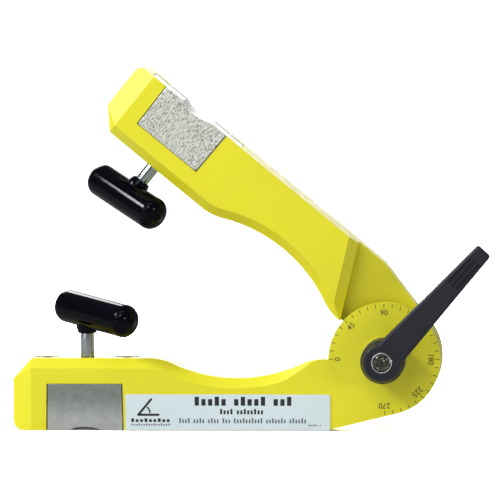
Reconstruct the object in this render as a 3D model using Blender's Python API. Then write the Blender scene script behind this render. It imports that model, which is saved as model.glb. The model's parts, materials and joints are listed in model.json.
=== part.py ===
"""Welding magnet holder: two arms hinged at a dial, each with a magnet that a T handle switches on and off.

Metres, +Z up. The lower arm lies along -X with its magnet face on the plane z = 0. The pivot runs along Y.
Both arms are the same casting, built in a frame of its own that has its origin on the pivot's axis:
    x  along the arm, away from the pivot
    y  from the inner face (y = 0) to the outer face that grips the work (y = ARM_HEIGHT)
    z  across the arm, towards its flush side, where the pivot tongue is
"""

import math

import bmesh
import bpy
from mathutils import Matrix, Vector

# Arms
ARM_LENGTH = 0.2176
ARM_HEIGHT = 0.042
ARM_THICKNESS = 0.030
HALF = ARM_THICKNESS / 2
GAP = 0.0003
EDGE_CHAMFER = 0.0056
END_CHAMFER = 0.0113
END_CUT = (0.011, 0.012)
END_CORNER_RADIUS = 0.005
SCOOP_CENTRE = 0.086
SCOOP_DEPTH = 0.0116
SCOOP_RADIUS = 0.089
SCOOP_BLEND_RADIUS = 0.030
SCOOP_STEPS = 14
BLEND_STEPS = 5
CHAMFER_FADE = 0.032

# Pivot tongue and the step where it meets the arm's full thickness
DISC_RADIUS = 0.0325
DISC_STEPS = 46
TONGUE_TAPER = math.radians(13.6)
STEP_START = 0.0337
STEP_SLANT = math.radians(26)
TONGUE_CLEARANCE = 0.0008
OPENING_ANGLE = math.radians(39.6)
PIVOT = Vector((0.100, 0, ARM_HEIGHT))

# Magnet module
STEM_X = 0.1748
POCKET_TOP = 0.0145
SHOE_WIDTH = 0.0430
SHOE_TOP = 0.0148
SHOE_DRAFT = 0.0005
SHOE_SIDE_GAP = 0.0008
SHOE_THICKNESS = 0.0043
NOTCH_RADIUS = 0.0258
NOTCH_DEPTH = 0.0023
NOTCH_STEPS = 10
HOUSING_WIDTH = 0.0656
HOUSING_SIDE_GAP = 0.0005
HOUSING_END = ARM_HEIGHT - GAP
HOUSING_HALF = HALF - SHOE_THICKNESS - GAP
MAGNET_RADIUS = 0.0087
MAGNET_BORE_DEPTH = 0.0373
FIXED_MAGNET = (0.0295, 0.0370)
ROTOR_MAGNET = (0.0199, 0.0292)
DRIVE_HUB = (0.0151, 0.0196)
HUB_SOCKET_DEPTH = 0.0034

# Stem, handle and the screws in the inner face
STEM_RADIUS = 0.004
STEM_BOTTOM = 0.0182
STEM_TOP = 0.0277
STEM_BORE = STEM_RADIUS + GAP
BUSHING_RADIUS = 0.007
BUSHING_LENGTH = 0.0057
SCREW_SPACING = 0.0235
SCREW_HEAD_RADIUS = 0.0067
SCREW_HEAD_HEIGHT = 0.0076
SCREW_HEAD_SINK = 0.0004
SCREW_SHANK_RADIUS = 0.004
SCREW_REACH = 0.026
COUNTERBORE_RADIUS = 0.0073
SOCKET_DEPTH = 0.004
BAR_RADIUS = 0.0098
BAR_HEIGHT = 0.0260
BAR_LENGTH = 0.0590
BAR_OFFSET = {"lower": 0.0075, "upper": -0.0011}
HANDLE_RISE = {"lower": 0.0008, "upper": -0.0022}
BAR_LEAN = math.radians(8.7)
BAR_SHOULDER = 0.0065
BAR_DOME = 0.0012
BOSS_RADIUS = 0.0064
BOSS_BOTTOM = 0.013
SET_SCREW_RADIUS = 0.002
SET_SCREW_HEIGHT = 0.024
HANDLE_TURN = {"lower": math.radians(145), "upper": math.radians(-145)}

# Label
LABEL_START = 0.0315
LABEL_LENGTH = 0.1193
LABEL_TOP = 0.0206
LABEL_HEIGHT = 0.0211
LABEL_GAP = 0.0002
LABEL_THICKNESS = 0.00025

# Pivot hardware, as distances along the pivot from the middle of the tool, towards the front
BOLT_RADIUS = 0.005
BOLT_END = 0.0224
BOLT_HEAD_RADIUS = 0.010
BOLT_HEAD = (-0.0240, -0.0176)
REAR_WASHER = (-0.0173, -0.0153)
FRICTION_WASHER_RADIUS = 0.025
FRICTION_WASHER_HALF = 0.0005
THRUST_WASHER = (0.0153, 0.0168)
WASHER_RADIUS = 0.0128
WASHER_BORE = 0.0054
INSERT_BASE = 0.0171
INSERT_COLLAR_TOP = 0.0185
INSERT_COLLAR_RADIUS = 0.0085
INSERT_THREAD_TOP = 0.023
INSERT_TOP = 0.0255
SPLINE_TIP = 0.0080
SPLINE_ROOT = 0.0069
SPLINE_TEETH = 12
LEVER_SCREW_RADIUS = 0.0025
LEVER_SCREW_BOTTOM = 0.0234
LEVER_SCREW_HEAD = (0.0362, 0.0390)
LEVER_SCREW_HEAD_RADIUS = 0.006
SPRING = (0.0281, 0.0359)
SPRING_RADIUS = 0.0045
SPRING_WIRE = 0.0006
SPRING_TURNS = 4
LEVER_ANGLE = math.radians(47.6)
LEVER_BASE = 0.0174
LEVER_SPLINE = (0.0215, 0.0258)
LEVER_WEB_TOP = 0.0278
LEVER_TOP = 0.039
LEVER_HUB_RADIUS = 0.0126
LEVER_HUB_SHOULDER = 0.0330
LEVER_TOP_RADIUS = 0.0106
LEVER_CORNER = 0.0018
# Each section of the lever's arm: distance from the pivot, width, underside and top along the pivot's axis.
LEVER_SECTIONS = (
    (0.0050, 0.0172, 0.0260, 0.0386),
    (0.0140, 0.0168, 0.0275, 0.0402),
    (0.0450, 0.0140, 0.0360, 0.0460),
    (0.0868, 0.0101, 0.0418, 0.0500),
    (0.0880, 0.0083, 0.0427, 0.0491),
)
GRIP_GROOVES = 3
GRIP_GROOVE = (0.0195, 0.0014, 0.0020)
GRIP_CENTRE = 0.0708
GRIP_PITCH = 0.0029

ROUND = 24


# Materials


def material(name, color, roughness, metallic=0.0):
    made = bpy.data.materials.new(name)
    made.use_nodes = True
    shader = made.node_tree.nodes["Principled BSDF"]
    shader.inputs["Base Color"].default_value = (*color, 1)
    shader.inputs["Roughness"].default_value = roughness
    shader.inputs["Metallic"].default_value = metallic
    return made


# Shapes


def arc(centre, radius, start, end, steps):
    """Points from angle start to angle end, both included."""
    angles = [start + (end - start) * i / steps for i in range(steps + 1)]
    return [Vector((centre[0] + radius * math.cos(a), centre[1] + radius * math.sin(a))) for a in angles]


def walls(mesh, first, second):
    """Quads between two rings of as many points."""
    count = len(first)
    for i in range(count):
        after = (i + 1) % count
        mesh.faces.new((first[i], first[after], second[after], second[i]))


def finished(mesh):
    bmesh.ops.remove_doubles(mesh, verts=mesh.verts, dist=1e-6)
    bmesh.ops.recalc_face_normals(mesh, faces=mesh.faces)
    return mesh


def prism(outline, low, high):
    """An outline in x and y, extruded from z = low to z = high."""
    mesh = bmesh.new()
    bottom, top = ([mesh.verts.new((x, y, z)) for x, y in outline] for z in (low, high))
    walls(mesh, bottom, top)
    mesh.faces.new(bottom)
    mesh.faces.new(top)
    return finished(mesh)


def box(low, high):
    corners = ((low[0], low[1]), (high[0], low[1]), (high[0], high[1]), (low[0], high[1]))
    return prism(corners, low[2], high[2])


def turned(profile, ring=False, steps=ROUND):
    """A profile of (radius, z) points turned round Z. A ring's profile closes, and any other ends on Z."""
    mesh = bmesh.new()
    points = [mesh.verts.new((radius, 0, z)) for radius, z in profile]
    edges = [mesh.edges.new(pair) for pair in zip(points, points[1:])]
    if ring:
        edges.append(mesh.edges.new((points[-1], points[0])))
    bmesh.ops.spin(mesh, geom=points + edges, axis=(0, 0, 1), cent=(0, 0, 0), angle=math.tau, steps=steps)
    return finished(mesh)


def rod(radius, low, high, chamfer=0.0, steps=ROUND):
    inner = radius - chamfer
    return turned(
        [(0, low), (inner, low), (radius, low + chamfer), (radius, high - chamfer), (inner, high), (0, high)],
        steps=steps,
    )


def washer(inner, outer, low, high):
    return turned([(inner, low), (outer, low), (outer, high), (inner, high)], ring=True)


def lofted(rings, closed=False):
    """A skin over rings of as many points. A closed loft runs from its last ring back to its first."""
    mesh = bmesh.new()
    made = [[mesh.verts.new(point) for point in ring] for ring in rings]
    for first, second in zip(made, made[1:]):
        walls(mesh, first, second)
    if closed:
        walls(mesh, made[-1], made[0])
    else:
        mesh.faces.new(made[0])
        mesh.faces.new(made[-1])
    return finished(mesh)


def hexagon(across_flats, low, high):
    return prism(arc((0, 0), across_flats / math.sqrt(3), 0, math.radians(300), 5), low, high)


# Objects


def empty(name, parent=None, location=(0, 0, 0), rotation=(0, 0, 0)):
    made = bpy.data.objects.new(name, None)
    made.empty_display_size = 0.01
    made.location = location
    made.rotation_euler = rotation
    made.parent = parent
    bpy.context.collection.objects.link(made)
    return made


def add(name, mesh, finish, parent, rotation=(0, 0, 0)):
    data = bpy.data.meshes.new(name)
    mesh.to_mesh(data)
    mesh.free()
    data.shade_smooth()
    data.set_sharp_from_angle(angle=math.radians(30))
    made = bpy.data.objects.new(name, data)
    made.rotation_euler = rotation
    made.parent = parent
    bpy.context.collection.objects.link(made)
    if finish:
        data.materials.append(finish)
    return made


def boolean(target, mesh, operation="DIFFERENCE"):
    """Cuts a mesh given in the target's own frame out of the target, or joins it on."""
    helper = add(f"{target.name}_{operation.lower()}", mesh, None, target.parent, target.rotation_euler)
    helper.hide_render = True
    helper.display_type = "WIRE"
    step = target.modifiers.new(operation.title(), "BOOLEAN")
    step.operation = operation
    step.solver = "EXACT"
    step.object = helper


# The arm's casting


def inner_edge():
    """The inner edge from the step to the cut corner, with the scoop between its two blends."""
    rise = SCOOP_RADIUS + SCOOP_BLEND_RADIUS - SCOOP_DEPTH
    reach = math.sqrt((SCOOP_RADIUS + SCOOP_BLEND_RADIUS) ** 2 - rise**2)
    lean = math.atan2(reach, rise)
    quarter = math.pi / 2
    near = arc(
        (SCOOP_CENTRE - reach, SCOOP_BLEND_RADIUS), SCOOP_BLEND_RADIUS, -quarter, lean - quarter, BLEND_STEPS
    )
    scoop = arc(
        (SCOOP_CENTRE, SCOOP_DEPTH - SCOOP_RADIUS), SCOOP_RADIUS, quarter + lean, quarter - lean, SCOOP_STEPS
    )
    far = arc(
        (SCOOP_CENTRE + reach, SCOOP_BLEND_RADIUS), SCOOP_BLEND_RADIUS, -quarter - lean, -quarter, BLEND_STEPS
    )
    return [Vector((STEP_START, 0))] + near + scoop[1:-1] + far


def insets(edge, fade):
    """Each point of the inner edge, moved into the arm by the chamfer, which can fade towards the pivot."""
    moved = []
    widths = []
    for i, point in enumerate(edge):
        along = edge[min(i + 1, len(edge) - 1)] - edge[max(i - 1, 0)]
        inward = Vector((-along.y, along.x)).normalized()
        width = EDGE_CHAMFER
        if fade:
            part = min((point.x - STEP_START) / CHAMFER_FADE, 1)
            width *= part * part * (3 - 2 * part)
        moved.append(point + inward * width)
        widths.append(width)
    return moved, widths


def end_edge():
    """The edge round the arm's end: its points, their partners inside the end chamfer, and its depths."""
    face_end = ARM_LENGTH - END_CHAMFER
    face_corner = Vector((face_end, EDGE_CHAMFER))
    cut = [Vector((ARM_LENGTH - END_CUT[0], 0)), Vector((ARM_LENGTH, END_CUT[1]))]
    corner = arc(
        (ARM_LENGTH - END_CORNER_RADIUS, ARM_HEIGHT - END_CORNER_RADIUS),
        END_CORNER_RADIUS,
        0,
        math.pi / 2,
        6,
    )
    corner.append(Vector((face_end, ARM_HEIGHT)))
    inside = [face_corner, face_corner] + [Vector((face_end, point.y)) for point in corner]
    depths = [EDGE_CHAMFER, EDGE_CHAMFER]
    depths += [EDGE_CHAMFER * (point.x - face_end) / END_CHAMFER for point in corner]
    return cut + corner, inside, depths


def arm_casting():
    """A full-thickness arm that steps down to a half-thickness tongue round the pivot."""
    edge = inner_edge()
    end, end_inside, end_depths = end_edge()
    step_end = Vector((STEP_START + ARM_HEIGHT * math.tan(STEP_SLANT), ARM_HEIGHT))
    tangent = math.pi / 2 + TONGUE_TAPER
    taper_start = (DISC_RADIUS - ARM_HEIGHT * math.cos(TONGUE_TAPER)) / -math.sin(TONGUE_TAPER)
    tongue = [Vector((taper_start, ARM_HEIGHT))]
    tongue += arc((0, 0), DISC_RADIUS, tangent, math.tau, DISC_STEPS)
    block = edge + end + [step_end]
    whole = block + tongue

    # Flush side: the chamfer fades out before the disc, and the outer edge has none.
    flush_edge, flush_widths = insets(edge, fade=True)
    flush = flush_edge + end_inside + [step_end] + tongue
    flush_depths = flush_widths + end_depths + [0] * (1 + len(tongue))

    # Step side: the chamfer runs on round the step, and its two edges meet in a corner behind the pointer.
    across_step = Vector((math.cos(STEP_SLANT), -math.sin(STEP_SLANT)))
    step_edge, step_widths = insets(edge, fade=False)
    past = [(point - edge[0]).dot(across_step) - EDGE_CHAMFER for point in step_edge]
    first = next(i for i, distance in enumerate(past) if distance > 0)
    share = past[first] / (past[first] - past[first - 1])
    corner = step_edge[first].lerp(step_edge[first - 1], share)
    step_edge[:first] = [corner] * first
    stepped = step_edge + end_inside + [step_end + Vector((EDGE_CHAMFER / math.cos(STEP_SLANT), 0))]
    step_depths = step_widths + end_depths + [EDGE_CHAMFER]

    mesh = bmesh.new()

    def ring(points, heights):
        return [mesh.verts.new((point.x, point.y, z)) for point, z in zip(points, heights)]

    flush_face = ring(flush, [HALF] * len(whole))
    flush_side = ring(whole, [HALF - depth for depth in flush_depths])
    seam = ring(whole, [TONGUE_CLEARANCE] * len(whole))
    step_side = ring(block, [depth - HALF for depth in step_depths])
    step_face = ring(stepped, [-HALF] * len(block))
    walls(mesh, flush_face, flush_side)
    walls(mesh, flush_side, seam)
    walls(mesh, seam[: len(block)], step_side)
    walls(mesh, step_side, step_face)
    mesh.faces.new(flush_face)
    mesh.faces.new(step_face)
    mesh.faces.new(seam[len(block) - 1 :] + seam[:1])
    return finished(mesh)


def counterbored(x, bore, head_radius, head_depth, depth):
    """The cutter of a stepped hole that runs along +y from the inner face."""
    above = -0.004
    profile = [(0, above), (head_radius, above), (head_radius, head_depth)]
    mesh = turned(profile + [(bore, head_depth), (bore, depth), (0, depth)])
    turn = Matrix.Rotation(-math.pi / 2, 4, "X")
    bmesh.ops.transform(mesh, matrix=Matrix.Translation((x, 0, 0)) @ turn, verts=mesh.verts)
    return mesh


def shoe_slot(beyond):
    """The outline that the shoes sit in, which widens towards the outer face as they do."""
    narrow = SHOE_WIDTH / 2 + SHOE_SIDE_GAP
    wide = narrow + SHOE_DRAFT * (beyond - POCKET_TOP) / (ARM_HEIGHT - SHOE_TOP)
    corners = ((-narrow, POCKET_TOP), (narrow, POCKET_TOP), (wide, beyond), (-wide, beyond))
    return [(STEM_X + x, y) for x, y in corners]


def arm(side, parent, paint):
    made = add(f"{side}_arm_casting", arm_casting(), paint, parent)
    housing_half = HOUSING_WIDTH / 2 + HOUSING_SIDE_GAP
    beyond = ARM_HEIGHT + 0.01
    boolean(made, prism(shoe_slot(beyond), -0.02, 0.02))
    depth = HOUSING_HALF + GAP
    boolean(made, box((STEM_X - housing_half, POCKET_TOP, -depth), (STEM_X + housing_half, beyond, depth)))
    reach = POCKET_TOP + 0.005
    boolean(made, counterbored(STEM_X, STEM_BORE, BUSHING_RADIUS + GAP, BUSHING_LENGTH + GAP, reach))
    for offset in (-SCREW_SPACING, SCREW_SPACING):
        head_depth = SCREW_HEAD_SINK + SCREW_HEAD_HEIGHT + GAP
        bore = SCREW_SHANK_RADIUS + GAP
        boolean(made, counterbored(STEM_X + offset, bore, COUNTERBORE_RADIUS, head_depth, reach))
    boolean(made, rod(BOLT_RADIUS + GAP, -0.02, 0.02))


# The magnet module


def notched(width, top, bottom, draft):
    """A block's outline with a shallow round notch in the middle of its outer edge."""
    centre = (STEM_X, ARM_HEIGHT - NOTCH_DEPTH + NOTCH_RADIUS)
    half_angle = math.acos((centre[1] - bottom) / NOTCH_RADIUS)
    notch = arc(centre, NOTCH_RADIUS, -math.pi / 2 + half_angle, -math.pi / 2 - half_angle, NOTCH_STEPS)
    half = width / 2
    corners = [Vector((STEM_X - half, top)), Vector((STEM_X + half, top))]
    right = [Vector((STEM_X + half + draft, bottom))]
    left = [Vector((STEM_X - half - draft, bottom))]
    return corners + right + notch + left


def pole_shoes(side, parent, steel):
    """Front and rear are as the tool stands. The upper arm is turned round: its flush side is at the rear."""
    outline = notched(SHOE_WIDTH, SHOE_TOP, ARM_HEIGHT, SHOE_DRAFT)
    inner, outer = HALF - SHOE_THICKNESS, HALF
    flush, stepped = ("front", "rear") if side == "lower" else ("rear", "front")
    add(f"{side}_{flush}_pole_shoe", prism(outline, inner, outer), steel, parent)
    add(f"{side}_{stepped}_pole_shoe", prism(outline, -outer, -inner), steel, parent)


def magnet_housing(side, parent, alloy):
    outline = notched(HOUSING_WIDTH, SHOE_TOP, HOUSING_END, 0)
    made = add(f"{side}_magnet_housing", prism(outline, -HOUSING_HALF, HOUSING_HALF), alloy, parent)
    bore = MAGNET_RADIUS + GAP
    boolean(made, counterbored(STEM_X, bore, bore, 0.001, MAGNET_BORE_DEPTH))
    for offset in (-SCREW_SPACING, SCREW_SPACING):
        bore = SCREW_SHANK_RADIUS + GAP
        boolean(made, counterbored(STEM_X + offset, bore, bore, 0.001, SCREW_REACH + 0.001))


def along_stem(span):
    """Depths below the inner face as heights in the stem's frame, low first."""
    return -span[1], -span[0]


def switch(side, stem_axis, turning, finishes):
    """The pieces on the stem's axis. Heights are from the inner face, outwards."""
    steel, magnet, bronze, alloy, plastic = (
        finishes[key] for key in ("zinc", "magnet", "bronze", "alloy", "handle")
    )
    add(f"{side}_fixed_magnet", rod(MAGNET_RADIUS, *along_stem(FIXED_MAGNET), 0.0004), magnet, stem_axis)
    add(f"{side}_stem_bushing", washer(STEM_BORE, BUSHING_RADIUS, -BUSHING_LENGTH, 0), bronze, stem_axis)
    add(f"{side}_rotor_magnet", rod(MAGNET_RADIUS, *along_stem(ROTOR_MAGNET), 0.0004), magnet, turning)
    bottom, top = along_stem(DRIVE_HUB)
    socket = top - HUB_SOCKET_DEPTH
    profile = [(0, bottom), (MAGNET_RADIUS, bottom), (MAGNET_RADIUS, top)]
    profile += [(STEM_BORE, top), (STEM_BORE, socket), (0, socket)]
    add(f"{side}_drive_hub", turned(profile), alloy, turning)
    add(f"{side}_stem", rod(STEM_RADIUS, -STEM_BOTTOM, STEM_TOP, 0.0005), steel, turning)
    t_handle(side, turning, plastic)
    set_screw(side, turning, steel)


def bar_mesh(side):
    """The handle's bar. It leans down at its +x end, and each end has a shoulder radius and a slight dome."""
    half_length = BAR_LENGTH / 2
    flat = BAR_RADIUS - BAR_SHOULDER
    shoulder = arc((flat, half_length - BAR_DOME - BAR_SHOULDER), BAR_SHOULDER, 0, math.pi / 2, 6)
    top = [(radius, z) for radius, z in shoulder] + [(0, half_length)]
    mesh = turned([(radius, -z) for radius, z in reversed(top)] + top)
    height = BAR_HEIGHT + HANDLE_RISE[side]
    place = Matrix.Translation((0, 0, height)) @ Matrix.Rotation(math.pi / 2 + BAR_LEAN, 4, "Y")
    bmesh.ops.transform(mesh, matrix=place @ Matrix.Translation((0, 0, BAR_OFFSET[side])), verts=mesh.verts)
    return mesh


def t_handle(side, parent, plastic):
    rise = HANDLE_RISE[side]
    made = add(f"{side}_t_handle", bar_mesh(side), plastic, parent)
    boolean(made, rod(BOSS_RADIUS, BOSS_BOTTOM + rise, BAR_HEIGHT + rise, 0.0005), "UNION")
    boolean(made, rod(STEM_BORE, BOSS_BOTTOM + rise - 0.003, STEM_TOP + GAP))
    hole = rod(SET_SCREW_RADIUS + GAP, STEM_RADIUS, BAR_RADIUS + 0.004, steps=16)
    boolean(made, across_stem(hole, side))


def across_stem(mesh, side):
    """Turns a piece made along Z to lie across the bar at the set screw's height. The two handles are mirrored."""
    turn = -math.pi / 2 if side == "lower" else math.pi / 2
    height = SET_SCREW_HEIGHT + HANDLE_RISE[side]
    place = Matrix.Translation((0, 0, height)) @ Matrix.Rotation(turn, 4, "X")
    bmesh.ops.transform(mesh, matrix=place, verts=mesh.verts)
    return mesh


def set_screw(side, parent, steel):
    low, high = STEM_RADIUS + GAP, BAR_RADIUS - 0.001
    screw = across_stem(rod(SET_SCREW_RADIUS, low, high, 0.0002, 16), side)
    made = add(f"{side}_handle_set_screw", screw, steel, parent)
    boolean(made, across_stem(hexagon(0.002, high - 0.0018, high + 0.001), side))


def retaining_screws(side, parent, steel):
    """Socket-head screws that hold the magnet housing up against the casting."""
    for place, offset in (("near", -SCREW_SPACING), ("far", SCREW_SPACING)):
        top = -SCREW_HEAD_SINK
        under = top - SCREW_HEAD_HEIGHT
        profile = [(0, -SCREW_REACH), (SCREW_SHANK_RADIUS, -SCREW_REACH), (SCREW_SHANK_RADIUS, under)]
        profile += [(SCREW_HEAD_RADIUS, under), (SCREW_HEAD_RADIUS, top - 0.0005)]
        profile += [(SCREW_HEAD_RADIUS - 0.0005, top), (0, top)]
        axis = empty(f"{side}_{place}_screw_axis", parent, (STEM_X + offset, 0, 0), (math.pi / 2, 0, 0))
        made = add(f"{side}_{place}_retaining_screw", turned(profile), steel, axis)
        boolean(made, hexagon(0.006, top - SOCKET_DEPTH, top + 0.002))


# The pivot


def star(tip, root, z):
    """A splined section: two points on each tooth's tip and two in each gap."""
    points = []
    pitch = math.tau / SPLINE_TEETH
    for tooth in range(SPLINE_TEETH):
        for share, radius in ((-0.16, tip), (0.16, tip), (0.34, root), (0.66, root)):
            angle = (tooth + share) * pitch
            points.append((radius * math.cos(angle), radius * math.sin(angle), z))
    return points


def circle_like_star(radius, z):
    """A round section with a point for each one of star."""
    return [Vector((x, y, 0)).normalized() * radius + Vector((0, 0, z)) for x, y, _ in star(1, 1, 0)]


def clamp_insert(parent, steel):
    bore = BOLT_RADIUS + GAP
    screw_hole = LEVER_SCREW_RADIUS + GAP
    rings = [
        circle_like_star(INSERT_COLLAR_RADIUS, INSERT_BASE),
        circle_like_star(INSERT_COLLAR_RADIUS, INSERT_COLLAR_TOP),
        star(SPLINE_TIP, SPLINE_ROOT, INSERT_COLLAR_TOP),
        star(SPLINE_TIP, SPLINE_ROOT, INSERT_TOP),
        circle_like_star(screw_hole, INSERT_TOP),
        circle_like_star(screw_hole, INSERT_THREAD_TOP),
        circle_like_star(bore, INSERT_THREAD_TOP),
        circle_like_star(bore, INSERT_BASE),
    ]
    add("clamp_insert", lofted(rings, closed=True), steel, parent)


def rounded_section(distance, width, low, high):
    """A rectangle across the lever's arm with rounded corners."""
    points = []
    for corner, (y, z) in enumerate(((1, 1), (-1, 1), (-1, -1), (1, -1))):
        centre_y = y * (width / 2 - LEVER_CORNER)
        centre_z = (high - LEVER_CORNER) if z > 0 else (low + LEVER_CORNER)
        start = corner * math.pi / 2
        bend = arc((centre_y, centre_z), LEVER_CORNER, start, start + math.pi / 2, 3)
        points += [(distance, point.x, point.y) for point in bend]
    return points


def clamp_lever(parent, plastic):
    corner = 0.0012
    hub = [(0, LEVER_BASE), (LEVER_HUB_RADIUS, LEVER_BASE), (LEVER_HUB_RADIUS, LEVER_HUB_SHOULDER)]
    hub += [(LEVER_TOP_RADIUS, LEVER_TOP - corner)]
    hub += [(LEVER_TOP_RADIUS - corner, LEVER_TOP), (0, LEVER_TOP)]
    made = add("clamp_lever", turned(hub), plastic, parent)
    boolean(made, lofted([rounded_section(*section) for section in LEVER_SECTIONS]), "UNION")
    clear = INSERT_COLLAR_RADIUS + GAP
    screw_hole = LEVER_SCREW_RADIUS + 2 * GAP
    head_bore = LEVER_SCREW_HEAD_RADIUS + GAP
    above = LEVER_TOP - GAP
    rings = [
        circle_like_star(clear, LEVER_BASE - 0.003),
        circle_like_star(clear, LEVER_SPLINE[0]),
        star(SPLINE_TIP + GAP, SPLINE_ROOT + GAP, LEVER_SPLINE[0]),
        star(SPLINE_TIP + GAP, SPLINE_ROOT + GAP, LEVER_SPLINE[1]),
        circle_like_star(screw_hole, LEVER_SPLINE[1]),
        circle_like_star(screw_hole, LEVER_WEB_TOP),
        circle_like_star(head_bore, LEVER_WEB_TOP),
        circle_like_star(head_bore, above),
        circle_like_star(head_bore + 0.0019, above),
        circle_like_star(head_bore + 0.0019, LEVER_TOP + 0.01),
    ]
    boolean(made, lofted(rings))
    grip(made)


def grip(lever):
    """Parallel grooves in the outer part of the lever's top face, which leave ribs between them."""
    inner, outer = LEVER_SECTIONS[2], LEVER_SECTIONS[3]
    slope = math.atan2(outer[3] - inner[3], outer[0] - inner[0])
    surface = inner[3] + (GRIP_CENTRE - inner[0]) * math.tan(slope)
    length, width, height = GRIP_GROOVE
    for i in range(GRIP_GROOVES):
        y = (i - (GRIP_GROOVES - 1) / 2) * GRIP_PITCH
        groove = box((-length / 2, y - width / 2, -height / 2), (length / 2, y + width / 2, height / 2))
        place = Matrix.Translation((GRIP_CENTRE, 0, surface)) @ Matrix.Rotation(-slope, 4, "Y")
        bmesh.ops.transform(groove, matrix=place, verts=groove.verts)
        boolean(lever, groove)


def lever_spring(parent, steel):
    """A coil spring under the lever screw's head, as a bent round wire with its ends closed."""
    curve = bpy.data.curves.new("lever_spring", "CURVE")
    curve.dimensions = "3D"
    curve.bevel_depth = SPRING_WIRE
    curve.bevel_resolution = 1
    curve.use_fill_caps = True
    steps_per_turn = 12
    count = SPRING_TURNS * steps_per_turn
    low, high = SPRING[0] + SPRING_WIRE, SPRING[1] - SPRING_WIRE
    line = curve.splines.new("POLY")
    line.points.add(count)
    for i, point in enumerate(line.points):
        angle = math.tau * i / steps_per_turn
        x, y = SPRING_RADIUS * math.cos(angle), SPRING_RADIUS * math.sin(angle)
        point.co = (x, y, low + (high - low) * i / count, 1)
    curve.materials.append(steel)
    made = bpy.data.objects.new("lever_spring", curve)
    made.parent = parent
    bpy.context.collection.objects.link(made)


def lever_screw(parent, steel):
    low, high = LEVER_SCREW_HEAD
    rim = 0.0009
    profile = [(0, LEVER_SCREW_BOTTOM), (LEVER_SCREW_RADIUS, LEVER_SCREW_BOTTOM), (LEVER_SCREW_RADIUS, low)]
    profile += [(LEVER_SCREW_HEAD_RADIUS, low), (LEVER_SCREW_HEAD_RADIUS, high - 0.0002)]
    profile += [(LEVER_SCREW_HEAD_RADIUS - 0.0002, high), (LEVER_SCREW_HEAD_RADIUS - rim, high)]
    profile += [(LEVER_SCREW_HEAD_RADIUS - rim - 0.0004, high - 0.0008), (0, high - 0.0008)]
    made = add("lever_screw", turned(profile), steel, parent)
    boolean(made, hexagon(0.005, low + 0.0008, high + 0.002))


def pivot_hardware(parent, finishes):
    steel = finishes["zinc"]
    back, shoulder = BOLT_HEAD
    profile = [(0, back), (BOLT_HEAD_RADIUS - 0.0015, back), (BOLT_HEAD_RADIUS, back + 0.0015)]
    profile += [(BOLT_HEAD_RADIUS, shoulder), (BOLT_RADIUS, shoulder), (BOLT_RADIUS, BOLT_END - 0.0005)]
    profile += [(BOLT_RADIUS - 0.0005, BOLT_END), (0, BOLT_END)]
    bolt = add("pivot_bolt", turned(profile), steel, parent)
    boolean(bolt, hexagon(0.008, back - 0.002, back + SOCKET_DEPTH))
    add("rear_washer", washer(WASHER_BORE, WASHER_RADIUS, *REAR_WASHER), steel, parent)
    friction = washer(WASHER_BORE, FRICTION_WASHER_RADIUS, -FRICTION_WASHER_HALF, FRICTION_WASHER_HALF)
    add("friction_washer", friction, finishes["fibre"], parent)
    add("thrust_washer", washer(WASHER_BORE, WASHER_RADIUS, *THRUST_WASHER), steel, parent)


def clamp(parent, finishes):
    turning = empty("clamp_axis", parent, rotation=(0, 0, LEVER_ANGLE))
    clamp_insert(turning, finishes["zinc"])
    lever_screw(turning, finishes["zinc"])
    lever_spring(turning, finishes["spring"])
    clamp_lever(turning, finishes["lever"])


# Assembly


def arm_frame(side):
    """The arm's own frame. The upper arm is the same casting, turned round and opened by the rest angle."""
    if side == "lower":
        columns = ((-1, 0, 0), (0, 0, -1), (0, -1, 0))
    else:
        sine, cosine = math.sin(OPENING_ANGLE), math.cos(OPENING_ANGLE)
        columns = ((-cosine, 0, sine), (sine, 0, cosine), (0, 1, 0))
    turn = Matrix(columns).transposed()
    return empty(f"{side}_arm_frame", location=PIVOT, rotation=turn.to_euler())


def build_arm(side, finishes):
    frame = arm_frame(side)
    arm(side, frame, finishes["paint"])
    pole_shoes(side, frame, finishes["pole"])
    magnet_housing(side, frame, finishes["alloy"])
    retaining_screws(side, frame, finishes["zinc"])
    stem_axis = empty(f"{side}_stem_axis", frame, (STEM_X, 0, 0), (math.pi / 2, 0, 0))
    turning = empty(f"{side}_handle_turn", stem_axis, rotation=(0, 0, HANDLE_TURN[side]))
    switch(side, stem_axis, turning, finishes)
    return frame


def label(parent, vinyl):
    low = (LABEL_START, LABEL_TOP, HALF + LABEL_GAP)
    high = (LABEL_START + LABEL_LENGTH, LABEL_TOP + LABEL_HEIGHT, HALF + LABEL_GAP + LABEL_THICKNESS)
    add("front_label", box(low, high), vinyl, parent)


def main():
    for old in list(bpy.data.objects):
        bpy.data.objects.remove(old)
    finishes = {
        "paint": material("Yellow paint", (0.80, 0.72, 0.03), 0.35),
        "pole": material("Ground pole steel", (0.55, 0.56, 0.56), 0.35, 1.0),
        "magnet": material("Magnet alloy", (0.45, 0.45, 0.46), 0.3, 1.0),
        "alloy": material("Aluminium", (0.62, 0.63, 0.64), 0.4, 1.0),
        "zinc": material("Zinc-plated steel", (0.68, 0.69, 0.70), 0.25, 1.0),
        "spring": material("Spring steel", (0.30, 0.30, 0.31), 0.35, 1.0),
        "bronze": material("Bronze", (0.45, 0.30, 0.14), 0.4, 1.0),
        "handle": material("Glossy black plastic", (0.006, 0.006, 0.007), 0.08),
        "lever": material("Charcoal lever plastic", (0.032, 0.034, 0.042), 0.42),
        "fibre": material("Friction lining", (0.10, 0.09, 0.08), 0.7),
        "label": material("Label vinyl", (0.70, 0.77, 0.82), 0.35),
    }
    frames = {side: build_arm(side, finishes) for side in ("lower", "upper")}
    label(frames["lower"], finishes["label"])
    pivot = empty("pivot_axis", location=PIVOT, rotation=(math.pi / 2, 0, 0))
    pivot_hardware(pivot, finishes)
    clamp(pivot, finishes)


main()
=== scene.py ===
import json
import math

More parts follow.
